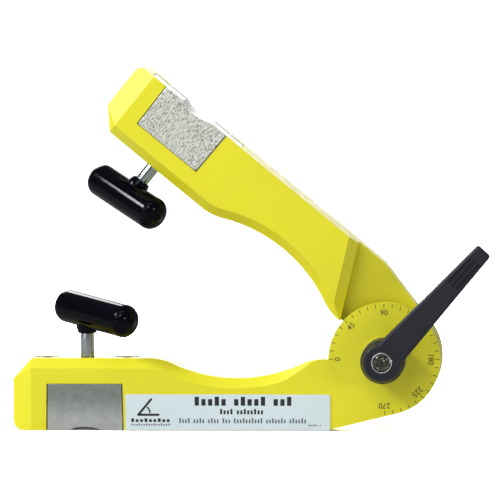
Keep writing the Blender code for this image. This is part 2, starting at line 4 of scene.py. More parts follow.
import bmesh
import bpy
from mathutils import Matrix, Vector

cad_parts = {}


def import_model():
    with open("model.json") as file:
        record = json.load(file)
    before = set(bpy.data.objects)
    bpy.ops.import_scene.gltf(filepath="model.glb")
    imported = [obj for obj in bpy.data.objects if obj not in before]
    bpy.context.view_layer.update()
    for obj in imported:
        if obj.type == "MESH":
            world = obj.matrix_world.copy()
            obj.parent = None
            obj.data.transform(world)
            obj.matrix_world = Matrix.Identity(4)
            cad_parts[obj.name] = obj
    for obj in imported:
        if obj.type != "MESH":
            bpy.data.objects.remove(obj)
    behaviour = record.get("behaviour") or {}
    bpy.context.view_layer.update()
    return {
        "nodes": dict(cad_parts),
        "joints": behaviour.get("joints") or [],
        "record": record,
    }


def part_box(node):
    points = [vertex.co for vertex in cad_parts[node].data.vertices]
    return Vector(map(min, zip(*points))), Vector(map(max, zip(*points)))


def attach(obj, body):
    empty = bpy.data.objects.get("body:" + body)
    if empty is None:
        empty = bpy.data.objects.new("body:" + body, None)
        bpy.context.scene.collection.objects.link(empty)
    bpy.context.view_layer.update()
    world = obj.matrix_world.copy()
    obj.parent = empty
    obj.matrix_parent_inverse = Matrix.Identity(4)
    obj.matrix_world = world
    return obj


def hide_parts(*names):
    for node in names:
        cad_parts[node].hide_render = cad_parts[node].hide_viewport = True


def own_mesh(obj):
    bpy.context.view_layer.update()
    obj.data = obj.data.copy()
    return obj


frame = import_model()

# The frame's own points and directions, in metres

JOINTS = {joint["name"]: joint for joint in frame["joints"]}
PIVOT = Vector(JOINTS["arm_opening"]["pos_m"])
STEMS = {side: Vector(JOINTS[f"{side}_switch"]["pos_m"]) for side in ("lower", "upper")}
STEM_AXES = {side: Vector(JOINTS[f"{side}_switch"]["axis"]) for side in ("lower", "upper")}
ALONG_ARM = {side: (STEMS[side] - PIVOT).normalized() for side in ("lower", "upper")}
OPENING_ANGLE = math.atan2(ALONG_ARM["upper"].z, -ALONG_ARM["upper"].x)
FRONT = Vector((0, -1, 0))
DIAL_FACE = -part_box("lower_arm_casting")[0].y
DISC_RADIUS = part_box("lower_arm_casting")[1].x - PIVOT.x
LABEL_CORNER = Vector(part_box("front_label")[0])

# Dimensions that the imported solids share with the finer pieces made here

HANDLE_TURN = {"lower": math.radians(145), "upper": math.radians(-145)}
BAR_OFFSET = {"lower": 0.0075, "upper": -0.0011}
HANDLE_RISE = {"lower": 0.0008, "upper": -0.0022}
BAR_LEAN = math.radians(8.7)
BAR_RADIUS = 0.0098
BAR_HEIGHT = 0.0260
BAR_LENGTH = 0.0590
BAR_SHOULDER = 0.0065
BAR_DOME = 0.0012
BOSS_RADIUS = 0.0064
BOSS_BOTTOM = 0.013
STEM_RADIUS = 0.004
STEM_BOTTOM = -0.0182
STEM_TOP = 0.0277
CLEARANCE = 0.0003
SET_SCREW_RADIUS = 0.002
SET_SCREW_HEIGHT = 0.024

LEVER_ANGLE = math.radians(47.6)
LEVER_BASE = 0.0174
LEVER_TOP = 0.039
LEVER_HUB_RADIUS = 0.0126
LEVER_HUB_SHOULDER = 0.0330
LEVER_TOP_RADIUS = 0.0106
LEVER_CORNER = 0.0018
LEVER_WEB = (0.0258, 0.0278)
INSERT_CLEARANCE_RADIUS = 0.0088
SCREW_HOLE_RADIUS = 0.0031
SCREW_HEAD_CLEARANCE_RADIUS = 0.0063
HUB_RELIEF_RADIUS = 0.0082
# Each section of the lever's arm: distance from the pivot, width, underside and top along the pivot's axis.
LEVER_SECTIONS = (
    (0.0050, 0.0172, 0.0260, 0.0386),
    (0.0140, 0.0168, 0.0275, 0.0402),
    (0.0450, 0.0140, 0.0360, 0.0460),
    (0.0868, 0.0101, 0.0418, 0.0500),
    (0.0880, 0.0083, 0.0427, 0.0491),
)
GRIP_GROOVES = 3
GRIP_GROOVE = (0.0195, 0.0014, 0.0020)  # length, width, and the cutter's height, half of it in the grip
GRIP_CENTRE = 0.0708
GRIP_PITCH = 0.0029

# Steps in a full turn, roundings of edges, and the angles that count as sharp or flat

SMOOTH = 72
CASTING_EDGE = 0.0006
SHOE_EDGE = 0.0002
HANDLE_EDGE = 0.0004
STEM_EDGE = 0.0005
LEVER_EDGE = 0.00025
SCREW_EDGE = 0.00008
SHARP_ANGLE = math.radians(35)
FLAT_ANGLE = math.radians(0.6)


# Shapes. All of them are bmeshes.


def arc(centre, radius, start, end, steps):
    """Points from angle start to angle end, both included."""
    angles = [start + (end - start) * i / steps for i in range(steps + 1)]
    return [(centre[0] + radius * math.cos(a), centre[1] + radius * math.sin(a)) for a in angles]


def cleaned(mesh):
    bmesh.ops.remove_doubles(mesh, verts=mesh.verts, dist=1e-6)
    bmesh.ops.recalc_face_normals(mesh, faces=mesh.faces)
    return mesh


def turned(profile, steps=SMOOTH):
    """A profile of (radius, z) points, ending on Z at both ends, turned round Z."""
    mesh = bmesh.new()
    points = [mesh.verts.new((radius, 0, z)) for radius, z in profile]
    edges = [mesh.edges.new(pair) for pair in zip(points, points[1:])]
    bmesh.ops.spin(mesh, geom=points + edges, axis=(0, 0, 1), cent=(0, 0, 0), angle=math.tau, steps=steps)
    return cleaned(mesh)


def rod(radius, low, high, rounding=0.0, steps=SMOOTH):
    if rounding:
        inner = radius - rounding
        bottom = arc((inner, low + rounding), rounding, -math.pi / 2, 0, 4)
        top = arc((inner, high - rounding), rounding, 0, math.pi / 2, 4)
    else:
        bottom, top = [(radius, low)], [(radius, high)]
    return turned([(0, low)] + bottom + top + [(0, high)], steps)


def lofted(rings):
    mesh = bmesh.new()
    made = [[mesh.verts.new(point) for point in ring] for ring in rings]
    for first, second in zip(made, made[1:]):
        count = len(first)
        for i in range(count):
            mesh.faces.new((first[i], first[(i + 1) % count], second[(i + 1) % count], second[i]))
    mesh.faces.new(made[0])
    mesh.faces.new(made[-1])
    return cleaned(mesh)


def prism(outline, low, high):
    """An outline in x and y, extruded from z = low to z = high."""
    return lofted([[(x, y, z) for x, y in outline] for z in (low, high)])


def box(low, high):
    corners = ((low[0], low[1]), (high[0], low[1]), (high[0], high[1]), (low[0], high[1]))
    return prism(corners, low[2], high[2])


def moved(mesh, matrix):
    bmesh.ops.transform(mesh, matrix=matrix, verts=mesh.verts)
    return mesh


def merge(target, source):
    """Adds one bmesh to another and frees it."""
    data = bpy.data.meshes.new("merge")
    source.to_mesh(data)
    source.free()
    target.from_mesh(data)
    bpy.data.meshes.remove(data)


def helper_object(name, mesh):
    data = bpy.data.meshes.new(name)
    mesh.to_mesh(data)
    mesh.free()
    made = bpy.data.objects.new(name, data)
    bpy.context.scene.collection.objects.link(made)
    return made


def combined(base, steps):
    """The base with other meshes joined on or cut out. steps are pairs of an operation and a mesh."""
    target = helper_object("base", base)
    helpers = []
    for operation, mesh in steps:
        tool = helper_object("tool", mesh)
        modifier = target.modifiers.new("step", "BOOLEAN")
        modifier.operation = operation
        modifier.solver = "EXACT"
        modifier.object = tool
        helpers.append(tool)
    bpy.context.view_layer.update()
    evaluated = target.evaluated_get(bpy.context.evaluated_depsgraph_get())
    result = bmesh.new()
    result.from_mesh(evaluated.data)
    for thing in [target] + helpers:
        bpy.data.objects.remove(thing)
    return result


# Frames: a stem's frame has z out of the arm, and the pivot's frame has z towards the front


def axes(x, y, z, origin):
    return Matrix.Translation(origin) @ Matrix((x, y, z)).transposed().to_4x4()


def handle_frame(side):
    x, z = ALONG_ARM[side], STEM_AXES[side]
    return axes(x, z.cross(x), z, STEMS[side]) @ Matrix.Rotation(HANDLE_TURN[side], 4, "Z")


PIVOT_FRAME = axes(Vector((1, 0, 0)), Vector((0, 0, 1)), FRONT, PIVOT)
LEVER_FRAME = PIVOT_FRAME @ Matrix.Rotation(LEVER_ANGLE, 4, "Z")


# Materials


class Finish:
    """A node material under construction: a Principled shader and the nodes that feed it."""

    def __init__(self, name, color, roughness, metallic=0.0, **sockets):
        self.material = bpy.data.materials.new(name)
        self.material.use_nodes = True
        self.tree = self.material.node_tree
        self.shader = self.tree.nodes["Principled BSDF"]
        self.coordinates = self.tree.nodes.new("ShaderNodeTexCoord").outputs["Object"]
        self.height = None
        self.set("Base Color", (*color, 1))
        self.set("Roughness", roughness)
        self.set("Metallic", metallic)
        for socket, value in sockets.items():
            self.set(socket.replace("_", " "), value)

    def set(self, socket, value):
        self.shader.inputs[socket].default_value = value

    def turned(self, stretch, angle=0.0):
        """Object coordinates turned about Y, then stretched, so that grain follows an arm."""
        node = self.tree.nodes.new("ShaderNodeMapping")
        node.vector_type = "TEXTURE"
        node.inputs["Rotation"].default_value = (0, angle, 0)
        node.inputs["Scale"].default_value = stretch
        self.tree.links.new(self.coordinates, node.inputs["Vector"])
        return node.outputs["Vector"]

    def noise(self, scale, detail=3.0, roughness=0.5, vector=None):
        node = self.tree.nodes.new("ShaderNodeTexNoise")
        node.inputs["Scale"].default_value = scale
        node.inputs["Detail"].default_value = detail
        node.inputs["Roughness"].default_value = roughness
        self.tree.links.new(vector or self.coordinates, node.inputs["Vector"])
        return node.outputs["Fac"]

    def separated(self, axis):
        """One of the object coordinates, in metres."""
        node = self.tree.nodes.new("ShaderNodeSeparateXYZ")
        self.tree.links.new(self.coordinates, node.inputs["Vector"])
        return node.outputs[axis]

    def between(self, value, low, high):
        """A smooth step from 0 where value is low to 1 where it is high."""
        node = self.tree.nodes.new("ShaderNodeMapRange")
        node.interpolation_type = "SMOOTHSTEP"
        node.inputs["From Min"].default_value = low
        node.inputs["From Max"].default_value = high
        self.tree.links.new(value, node.inputs["Value"])
        return node.outputs["Result"]

    def blend(self, factor, first, second):
        node = self.tree.nodes.new("ShaderNodeMix")
        node.data_type = "RGBA"
        for socket, value in (("Factor", factor), ("A", first), ("B", second)):
            self.tree.links.new(value, node.inputs[socket])
        return node.outputs["Result"]

    def ramp(self, factor, stops):
        node = self.tree.nodes.new("ShaderNodeValToRGB")
        ramp = node.color_ramp
        while len(ramp.elements) < len(stops):
            ramp.elements.new(0.5)
        for element, (place, value) in zip(ramp.elements, stops):
            element.position = place
            element.color = (*value, 1) if isinstance(value, tuple) else (value, value, value, 1)
        self.tree.links.new(factor, node.inputs["Fac"])
        return node.outputs["Color"]

    def into(self, socket, value):
        self.tree.links.new(value, self.shader.inputs[socket])

    def bump(self, height, distance, strength=1.0):
        """Adds a layer of bump on top of the layers that are there already."""
        node = self.tree.nodes.new("ShaderNodeBump")
        node.inputs["Distance"].default_value = distance
        node.inputs["Strength"].default_value = strength
        self.tree.links.new(height, node.inputs["Height"])
        if self.height:
            self.tree.links.new(self.height, node.inputs["Normal"])
        self.height = node.outputs["Normal"]
        self.into("Normal", self.height)


def scaled(color, factor):
    return tuple(min(1.0, channel * factor) for channel in color)


def yellow_paint():
    """Powder coat: a fine orange peel, a slow change of tone and faint scuffs in the gloss."""
    yellow = (0.79, 0.730, 0.018)
    made = Finish("Yellow powder coat", yellow, 0.36, Specular_IOR_Level=0.5)
    tone = made.noise(22, 3)
    made.into("Base Color", made.ramp(tone, [(0.3, scaled(yellow, 0.955)), (0.7, scaled(yellow, 1.03))]))
    gloss = made.noise(160, 4, 0.6)
    made.into("Roughness", made.ramp(gloss, [(0.3, 0.30), (0.75, 0.44)]))
    made.bump(made.noise(620, 2), 0.00022, 0.35)
    made.bump(made.noise(2600, 2), 0.00006, 0.3)
    return made.material


def lower_pole_steel():
    """Ground and zinc-plated: almost smooth and clouded, with a painted reflection of the pale floor that
    makes it brighter towards the gripping edge.
    """
    made = Finish("Lower pole steel", (0.4, 0.42, 0.40), 0.36, 1.0)
    cloud = made.noise(210, 5, 0.62)
    height = made.separated("Z")
    # The same cloudy steel twice: the brighter copy is a painted floor reflection, blended in from the top of
    # the shoe down to its gripping edge.
    steel_without_floor_reflection = made.ramp(cloud, [(0.28, (0.28, 0.32, 0.29)), (0.72, (0.385, 0.425, 0.395))])
    bright = made.ramp(cloud, [(0.28, (0.56, 0.585, 0.57)), (0.72, (0.73, 0.745, 0.72))])
    made.into("Base Color", made.blend(made.between(height, 0.022, 0.003), steel_without_floor_reflection, bright))
    made.into("Roughness", made.ramp(made.noise(60, 3), [(0.3, 0.30), (0.75, 0.44)]))
    made.bump(made.noise(1.0, 4, 0.6, made.turned((0.0005, 0.0005, 0.004))), 0.00008, 0.35)
    made.bump(made.noise(900, 3), 0.00005, 0.3)
    return made.material


def upper_pole_steel():
    """Coarsely ground: short bright and dark streaks across the arm."""
    made = Finish("Upper pole steel", (0.6, 0.6, 0.58), 0.36, 1.0)
    streaks = made.noise(1.0, 5, 0.72, made.turned((0.00036, 0.00036, 0.0017), OPENING_ANGLE))
    stops = [
        (0.38, (0.03, 0.04, 0.03)),
        (0.45, (0.45, 0.48, 0.41)),
        (0.5, (1.0, 1.0, 0.88)),
        (0.62, (1.0, 1.0, 0.97)),
    ]
    made.into("Base Color", made.ramp(streaks, stops))
    made.into("Roughness", made.ramp(streaks, [(0.35, 0.50), (0.65, 0.28)]))
    made.bump(streaks, 0.00025, 0.7)
    made.bump(made.noise(2400, 2), 0.00005, 0.3)
    return made.material


def machined(name, color, roughness):
    """Turned or milled metal, with fine marks and a cloudy plating."""
    made = Finish(name, color, roughness, 1.0)
    cloud = made.noise(120, 4, 0.6)
    made.into("Base Color", made.ramp(cloud, [(0.3, scaled(color, 0.84)), (0.72, scaled(color, 1.08))]))
    made.into("Roughness", made.ramp(cloud, [(0.3, roughness + 0.08), (0.75, roughness - 0.05)]))
    marks = made.noise(1.0, 3, 0.5, made.turned((0.0009, 0.0009, 0.00022)))
    made.bump(marks, 0.00003, 0.4)
    return made.material


def polished_rod():
    """Drawn and polished steel: almost a mirror, with faint lengthwise marks."""
    steel = (0.34, 0.37, 0.37)
    made = Finish("Polished steel rod", steel, 0.14, 1.0)
    tone = made.noise(40, 3)
    made.into("Base Color", made.ramp(tone, [(0.3, scaled(steel, 0.9)), (0.72, scaled(steel, 1.05))]))
    made.into("Roughness", made.ramp(made.noise(180, 3), [(0.3, 0.10), (0.75, 0.2)]))
    made.bump(made.noise(1.0, 3, 0.5, made.turned((0.0004, 0.0004, 0.006))), 0.00001, 0.3)
    return made.material


def screw_core():
    """Steel of a dark, uneven tone with painted glints: the noise's highest values turn almost white. The
    same finish darkens the ring groove's floor as painted shade.
    """
    made = Finish("Screw core with painted glints and shade", (0.1, 0.1, 0.08), 0.25, 1.0)
    # Painted highlights: the top stop of this ramp is near white and stands for glints of light on the steel.
    painted_glints = made.noise(620, 3, 0.6)
    stops = [(0.42, (0.03, 0.03, 0.024)), (0.56, (0.16, 0.16, 0.13)), (0.68, (0.72, 0.72, 0.62))]
    made.into("Base Color", made.ramp(painted_glints, stops))
    made.into("Roughness", made.ramp(made.noise(300, 2), [(0.3, 0.18), (0.75, 0.34)]))
    made.bump(painted_glints, 0.0001, 0.6)
    return made.material


def black_gloss():
    """Moulded plastic with a polished skin that isn't perfectly even."""
    black = (0.0011, 0.0011, 0.0034)
    made = Finish("Black gloss plastic", black, 0.07, Specular_IOR_Level=0.09)
    tone = made.noise(90, 3)
    made.into("Base Color", made.ramp(tone, [(0.3, scaled(black, 0.8)), (0.7, scaled(black, 1.3))]))
    made.into("Roughness", made.ramp(made.noise(300, 3), [(0.35, 0.05), (0.8, 0.12)]))
    made.bump(made.noise(75, 2), 0.00035, 0.10)
    made.bump(made.noise(2200, 2), 0.00003, 0.12)
    return made.material


def charcoal_plastic():
    """Glass-filled nylon with a fine spark-eroded texture."""
    charcoal = (0.0105, 0.0122, 0.0195)
    made = Finish("Charcoal plastic", charcoal, 0.44, Specular_IOR_Level=0.4)
    tone = made.noise(60, 3)
    made.into("Base Color", made.ramp(tone, [(0.3, scaled(charcoal, 0.86)), (0.7, scaled(charcoal, 1.14))]))
    made.into("Roughness", made.ramp(made.noise(900, 3), [(0.3, 0.36), (0.75, 0.52)]))
    made.bump(made.noise(3200, 3), 0.00009, 0.5)
    return made.material


def label_vinyl():
    """Satin vinyl that lies almost flat."""
    white = (0.68, 0.78, 0.805)
    made = Finish("Label vinyl", white, 0.33)
    tone = made.noise(35, 2)
    made.into("Base Color", made.ramp(tone, [(0.3, scaled(white, 0.975)), (0.7, scaled(white, 1.02))]))
    made.into("Roughness", made.ramp(made.noise(500, 3), [(0.3, 0.28), (0.75, 0.40)]))
    made.bump(made.noise(90, 2), 0.00015, 0.15)
    return made.material


def ink(name, color):
    made = Finish(name, color, 0.5)
    tone = made.noise(700, 3)
    made.into("Base Color", made.ramp(tone, [(0.3, scaled(color, 0.8)), (0.75, scaled(color, 1.35))]))
    made.into("Roughness", made.ramp(made.noise(1200, 2), [(0.3, 0.42), (0.75, 0.6)]))
    return made.material


def friction_lining():
    brown = (0.10, 0.085, 0.07)
    made = Finish("Friction lining", brown, 0.8)
    fibres = made.noise(1400, 4)
    made.into("Base Color", made.ramp(fibres, [(0.3, scaled(brown, 0.6)), (0.7, scaled(brown, 1.7))]))
    made.bump(fibres, 0.0001, 0.5)
    return made.material


FINISHES = {
    "yellow_paint": yellow_paint(),
    "lower_pole": lower_pole_steel(),
    "upper_pole": upper_pole_steel(),
    "bare_aluminium": machined("Bare aluminium", (0.62, 0.63, 0.64), 0.36),
    "magnet_plating": machined("Magnet plating", (0.45, 0.45, 0.46), 0.28),
    "zinc_steel": machined("Zinc-plated steel", (0.60, 0.62, 0.63), 0.24),
    "polished_rod": polished_rod(),
    "screw_core": screw_core(),
    "black_oxide": machined("Black oxide steel", (0.02, 0.02, 0.024), 0.38),
    "spring_steel": machined("Spring steel", (0.24, 0.24, 0.25), 0.34),
    "bronze": machined("Bronze", (0.42, 0.27, 0.12), 0.38),
    "black_gloss": black_gloss(),
    "charcoal_plastic": charcoal_plastic(),
    "friction_lining": friction_lining(),
    "label_vinyl": label_vinyl(),
    "dial_ink": ink("Dial ink", (0.11, 0.10, 0.014)),
    "dark_ink": ink("Dark label ink", (0.012, 0.014, 0.018)),
    "grey_ink": ink("Grey label ink", (0.10, 0.11, 0.13)),
}
SLOTS = {part["node"]: part["material_slot"] for part in frame["record"]["subparts"]}


def finish_of(node):
    """The slot's finish, apart from a few pieces that look different from others in their slot."""
    slot = SLOTS[node]
    if slot == "pole_steel":
        return FINISHES["lower_pole" if node.startswith("lower") else "upper_pole"]
    if node.endswith("_stem"):
        return FINISHES["polished_rod"]
    if node.endswith("_retaining_screw"):
        return FINISHES["black_oxide"]
    return FINISHES[slot]


def body_of(node):
    return next(name for name, nodes in frame["record"]["behaviour"]["bodies"].items() if node in nodes)


# Pieces


def piece(name, mesh, finish, body):
    """A new object that rides on a body. mesh is in world coordinates."""
    made = helper_object(name, mesh)
    made.data.shade_smooth()
    made.data.set_sharp_from_angle(angle=SHARP_ANGLE)
    made.data.materials.append(finish)
    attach(made, body)
    return made


def round_edges(made, width, segments=2, angle=25):
    bevel = made.modifiers.new("Edges", "BEVEL")
    bevel.width = width
    bevel.segments = segments
    bevel.limit_method = "ANGLE"
    bevel.angle_limit = math.radians(angle)
    bevel.harden_normals = True
    made.modifiers.new("Normals", "WEIGHTED_NORMAL").keep_sharp = True


def softened(node, width):
    """Stands for a CAD node with the same shape, its edges rounded by a small bevel."""
    source = frame["nodes"][node]
    mesh = bmesh.new()
    mesh.from_mesh(source.data)
    moved(mesh, source.matrix_world)
    bmesh.ops.remove_doubles(mesh, verts=mesh.verts, dist=2e-6)
    bmesh.ops.dissolve_limit(mesh, angle_limit=FLAT_ANGLE, verts=mesh.verts, edges=mesh.edges)
    made = piece(f"{node}_skin", mesh, finish_of(node), body_of(node))
    round_edges(made, width)
    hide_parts(node)


def finer(node, mesh, edge=0.0):
    """Stands for a CAD node with a finer mesh of the same size."""
    made = piece(f"{node}_fine", mesh, finish_of(node), body_of(node))
    if edge:
        round_edges(made, edge, 3, 30)
    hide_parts(node)
    return made


def dress_cad_nodes():
    """Gives every CAD node its finish."""
    for node, thing in frame["nodes"].items():
        thing.data.materials.clear()
        thing.data.materials.append(finish_of(node))


# T handles and stems


def bar_mesh(side):
    """The handle's bar, with a shoulder radius and a slight dome at each end."""
    half = BAR_LENGTH / 2
    flat = BAR_RADIUS - BAR_SHOULDER
    shoulder = arc((flat, half - BAR_DOME - BAR_SHOULDER), BAR_SHOULDER, 0, math.pi / 2, 14)
    dome = [(flat * (1 - step), half - BAR_DOME * (1 - step) ** 2) for step in (0.33, 0.66, 1)]
    end = shoulder + dome
    rings = (-0.45, -0.15, 0.15, 0.45)  # of half the bar's length, so that no face is very long
    barrel = [(BAR_RADIUS, z * half) for z in rings]
    mesh = turned([(radius, -z) for radius, z in reversed(end)] + barrel + end)
    height = BAR_HEIGHT + HANDLE_RISE[side]
    lean = Matrix.Translation((0, 0, height)) @ Matrix.Rotation(math.pi / 2 + BAR_LEAN, 4, "Y")
    return moved(mesh, lean @ Matrix.Translation((0, 0, BAR_OFFSET[side])))


def across_stem(mesh, side):
    """Turns a mesh made along Z to lie across the bar at the set screw's height."""
    turn = -math.pi / 2 if side == "lower" else math.pi / 2
    height = SET_SCREW_HEIGHT + HANDLE_RISE[side]
    return moved(mesh, Matrix.Translation((0, 0, height)) @ Matrix.Rotation(turn, 4, "X"))


def t_handle(side):
    """The bar with a boss on the stem. The boss narrows to a rounded foot."""
    bottom, top = BOSS_BOTTOM + HANDLE_RISE[side], BAR_HEIGHT + HANDLE_RISE[side]
    foot_inset, foot_height, rounding = 0.0016, 0.0034, 0.0008
    boss = turned(
        [(0, bottom)]
        + arc((BOSS_RADIUS - foot_inset, bottom + rounding), rounding, -math.pi / 2, 0, 4)
        + [(BOSS_RADIUS, bottom + foot_height), (BOSS_RADIUS, top), (0, top)]
    )
    bore = STEM_RADIUS + CLEARANCE
    screw_hole = rod(SET_SCREW_RADIUS + CLEARANCE, STEM_RADIUS, BAR_RADIUS + 0.004, steps=32)
    steps = [
        ("UNION", boss),
        ("DIFFERENCE", rod(bore, bottom - 0.003, STEM_TOP + CLEARANCE)),
        ("DIFFERENCE", across_stem(screw_hole, side)),
    ]
    mesh = moved(combined(bar_mesh(side), steps), handle_frame(side))
    finer(f"{side}_t_handle", mesh, HANDLE_EDGE)


def stem(side):
    mesh = rod(STEM_RADIUS, STEM_BOTTOM, STEM_TOP, STEM_EDGE)
    finer(f"{side}_stem", moved(mesh, handle_frame(side)))


# The clamp lever


def rounded_section(distance, width, low, high):
    """A rectangle across the lever's arm with rounded corners."""
    points = []
    for corner, (y, z) in enumerate(((1, 1), (-1, 1), (-1, -1), (1, -1))):
        centre_y = y * (width / 2 - LEVER_CORNER)
        centre_z = (high - LEVER_CORNER) if z > 0 else (low + LEVER_CORNER)
        start = corner * math.pi / 2
        bend = arc((centre_y, centre_z), LEVER_CORNER, start, start + math.pi / 2, 7)
        points += [(distance, y_place, z_place) for y_place, z_place in bend]
    return points


def grip_cutters():
    """Parallel grooves in the outer part of the lever's top face, which leave ribs between them."""
    inner, outer = LEVER_SECTIONS[2], LEVER_SECTIONS[3]
    slope = math.atan2(outer[3] - inner[3], outer[0] - inner[0])
    surface = inner[3] + (GRIP_CENTRE - inner[0]) * math.tan(slope)
    length, width, height = GRIP_GROOVE
    place = Matrix.Translation((GRIP_CENTRE, 0, surface)) @ Matrix.Rotation(-slope, 4, "Y")
    cutters = []
    for i in range(GRIP_GROOVES):
        y = (i - (GRIP_GROOVES - 1) / 2) * GRIP_PITCH
        ends = arc((length / 2 - width / 2, y), width / 2, -math.pi / 2, math.pi / 2, 8)
        ends += arc((width / 2 - length / 2, y), width / 2, math.pi / 2, math.pi * 1.5, 8)
        cutters.append(moved(prism(ends, -height / 2, height / 2), place))
    return cutters


def clamp_lever():
    """The hub and the arm in one moulding, with room for the insert, the spring and the screw."""
    edge, shoulder, corner = 0.0004, 0.0008, 0.0012
    rim = (LEVER_TOP_RADIUS - corner, LEVER_TOP - corner)
    hub = [(0, LEVER_BASE)]
    hub += arc((LEVER_HUB_RADIUS - edge, LEVER_BASE + edge), edge, -math.pi / 2, 0, 3)
    hub += arc((LEVER_HUB_RADIUS - shoulder, LEVER_HUB_SHOULDER), shoulder, 0, math.radians(60), 4)
    hub += arc(rim, corner, math.radians(20), math.pi / 2, 6) + [(0, LEVER_TOP)]
    above = LEVER_TOP - CLEARANCE
    head_room = [
        (0, LEVER_WEB[1]),
        (SCREW_HEAD_CLEARANCE_RADIUS, LEVER_WEB[1]),
        (SCREW_HEAD_CLEARANCE_RADIUS, above),
        (HUB_RELIEF_RADIUS, above),
        (HUB_RELIEF_RADIUS, LEVER_TOP + 0.01),
        (0, LEVER_TOP + 0.01),
    ]
    steps = [("UNION", lofted([rounded_section(*section) for section in LEVER_SECTIONS]))]
    steps += [("DIFFERENCE", rod(INSERT_CLEARANCE_RADIUS, LEVER_BASE - 0.003, LEVER_WEB[0]))]
    steps += [("DIFFERENCE", rod(SCREW_HOLE_RADIUS, LEVER_BASE, LEVER_TOP))]
    steps += [("DIFFERENCE", turned(head_room))]
    steps += [("DIFFERENCE", cutter) for cutter in grip_cutters()]
    mesh = moved(combined(turned(hub), steps), LEVER_FRAME)
    finer("clamp_lever", mesh, LEVER_EDGE)


def lever_screw():
    """A head with a polished rim, a deep ring groove and a darker raised middle with a six-lobed socket. The
    middle piece also lies on the groove's floor as painted shade.
    """
    head_bottom, top = 0.0362, 0.0390
    shank, shank_end = 0.0025, 0.0234
    radius, rim, core, core_top = 0.006, 0.0053, 0.0043, 0.03875
    groove_floor, socket_floor = 0.0376, 0.0379
    bevel, rounding, groove_slant = 0.0002, 0.0003, 0.0004
    profile = [(0, shank_end)]
    profile += arc((shank - rounding, shank_end + rounding), rounding, -math.pi / 2, 0, 3)
    profile += [(shank, head_bottom), (radius - bevel, head_bottom), (radius, head_bottom + bevel)]
    profile += arc((radius - rounding, top - rounding), rounding, 0, math.pi / 2, 4)
    profile += [(rim, top - 0.0001), (rim - groove_slant, groove_floor), (0, groove_floor)]
    finer("lever_screw", moved(turned(profile), LEVER_FRAME), SCREW_EDGE)
    lobe_count, lobe_middle, lobe_depth = 6, 0.0023, 0.00042
    lobes = []
    for i in range(SMOOTH):
        angle = math.tau * i / SMOOTH
        reach = lobe_middle + lobe_depth * math.cos(lobe_count * angle)
        lobes.append((reach * math.cos(angle), reach * math.sin(angle)))
    # Painted shade: the dark middle piece reaches out over the ring groove's floor, so the groove shows a
    # dark finish instead of the lit zinc.
    groove_shade_flange, core_rounding = rim - 0.00045, 0.0004
    middle = [(0, groove_floor), (groove_shade_flange, groove_floor), (groove_shade_flange, socket_floor), (core, socket_floor)]
    core_edge = (core - core_rounding, core_top - core_rounding)
    middle += arc(core_edge, core_rounding, 0, math.pi / 2, 4) + [(0, core_top)]
    mesh = combined(turned(middle), [("DIFFERENCE", prism(lobes, socket_floor, top + 0.001))])
    body, slot = body_of("lever_screw"), SLOTS["lever_screw"]
    piece("lever_screw_core", moved(mesh, LEVER_FRAME), FINISHES["screw_core"], body)


def lever_spring():
    """The coil under the screw's head, a copy of the CAD spring with a mesh of its own. It keeps its shape
    when the lever lifts.
    """
    source = frame["nodes"]["lever_spring"]
    mesh = bmesh.new()
    mesh.from_mesh(source.data)
    made = finer("lever_spring", moved(mesh, source.matrix_world))
    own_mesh(made)


# Printed marks. They stand a few hundredths of a millimetre proud of what they are printed on.

DIAL_STEP = 9
DIAL_END = 270
DIAL_NUMBERS = (0, 45, 90, 135, 180, 225, 270)
TICK_LENGTH = 0.0023
TICK_WIDTH = 0.00042
RIM_MARGIN = 0.0005
NUMBER_HEIGHT = 0.0032
NUMBER_RADIUS = 0.0269
NUMBER_BOLDNESS = 0.00006
CAPITAL_SHARE = 0.7  # of the font's size
PRINT_DEPTH = 0.00003


def dial_direction(value):
    """The dial runs clockwise from the side where the lower arm is."""
    return math.pi - math.radians(value)


def numeral(text):
    """A short text as a flat mesh, with its middle at the origin."""
    curve = bpy.data.curves.new("numeral", "FONT")
    curve.body = text
    curve.size = NUMBER_HEIGHT / CAPITAL_SHARE
    curve.extrude = PRINT_DEPTH
    curve.resolution_u = 4
    curve.offset = NUMBER_BOLDNESS
    curve.align_x = "CENTER"
    curve.align_y = "CENTER"
    thing = bpy.data.objects.new("numeral", curve)
    bpy.context.scene.collection.objects.link(thing)
    bpy.context.view_layer.update()
    evaluated = thing.evaluated_get(bpy.context.evaluated_depsgraph_get())
    data = bpy.data.meshes.new_from_object(evaluated)
    bpy.data.objects.remove(thing)
    return data


def dial():
    mesh = bmesh.new()
    for value in range(0, DIAL_END + 1, DIAL_STEP):
        outer = DISC_RADIUS - RIM_MARGIN
        tick = box((outer - TICK_LENGTH, -TICK_WIDTH / 2, -PRINT_DEPTH), (outer, TICK_WIDTH / 2, PRINT_DEPTH))
        moved(tick, Matrix.Translation((0, 0, DIAL_FACE)) @ Matrix.Rotation(dial_direction(value), 4, "Z"))
        merge(mesh, tick)
    for value in DIAL_NUMBERS:
        data = numeral(str(value))
        outwards = Matrix.Rotation(dial_direction(value), 4, "Z")
        upright = Matrix.Rotation(-math.pi / 2, 4, "Z")
        place = outwards @ Matrix.Translation((NUMBER_RADIUS, 0, 0)) @ upright
        data.transform(Matrix.Translation((0, 0, DIAL_FACE)) @ place)
        mesh.from_mesh(data)
        bpy.data.meshes.remove(data)
    moved(mesh, PIVOT_FRAME)
    piece("dial_marks", mesh, FINISHES["dial_ink"], "lower_arm")


def label_frame():
    """x to the right and y up on the label, from its lower left corner."""
    return axes(Vector((1, 0, 0)), Vector((0, 0, 1)), FRONT, LABEL_CORNER)


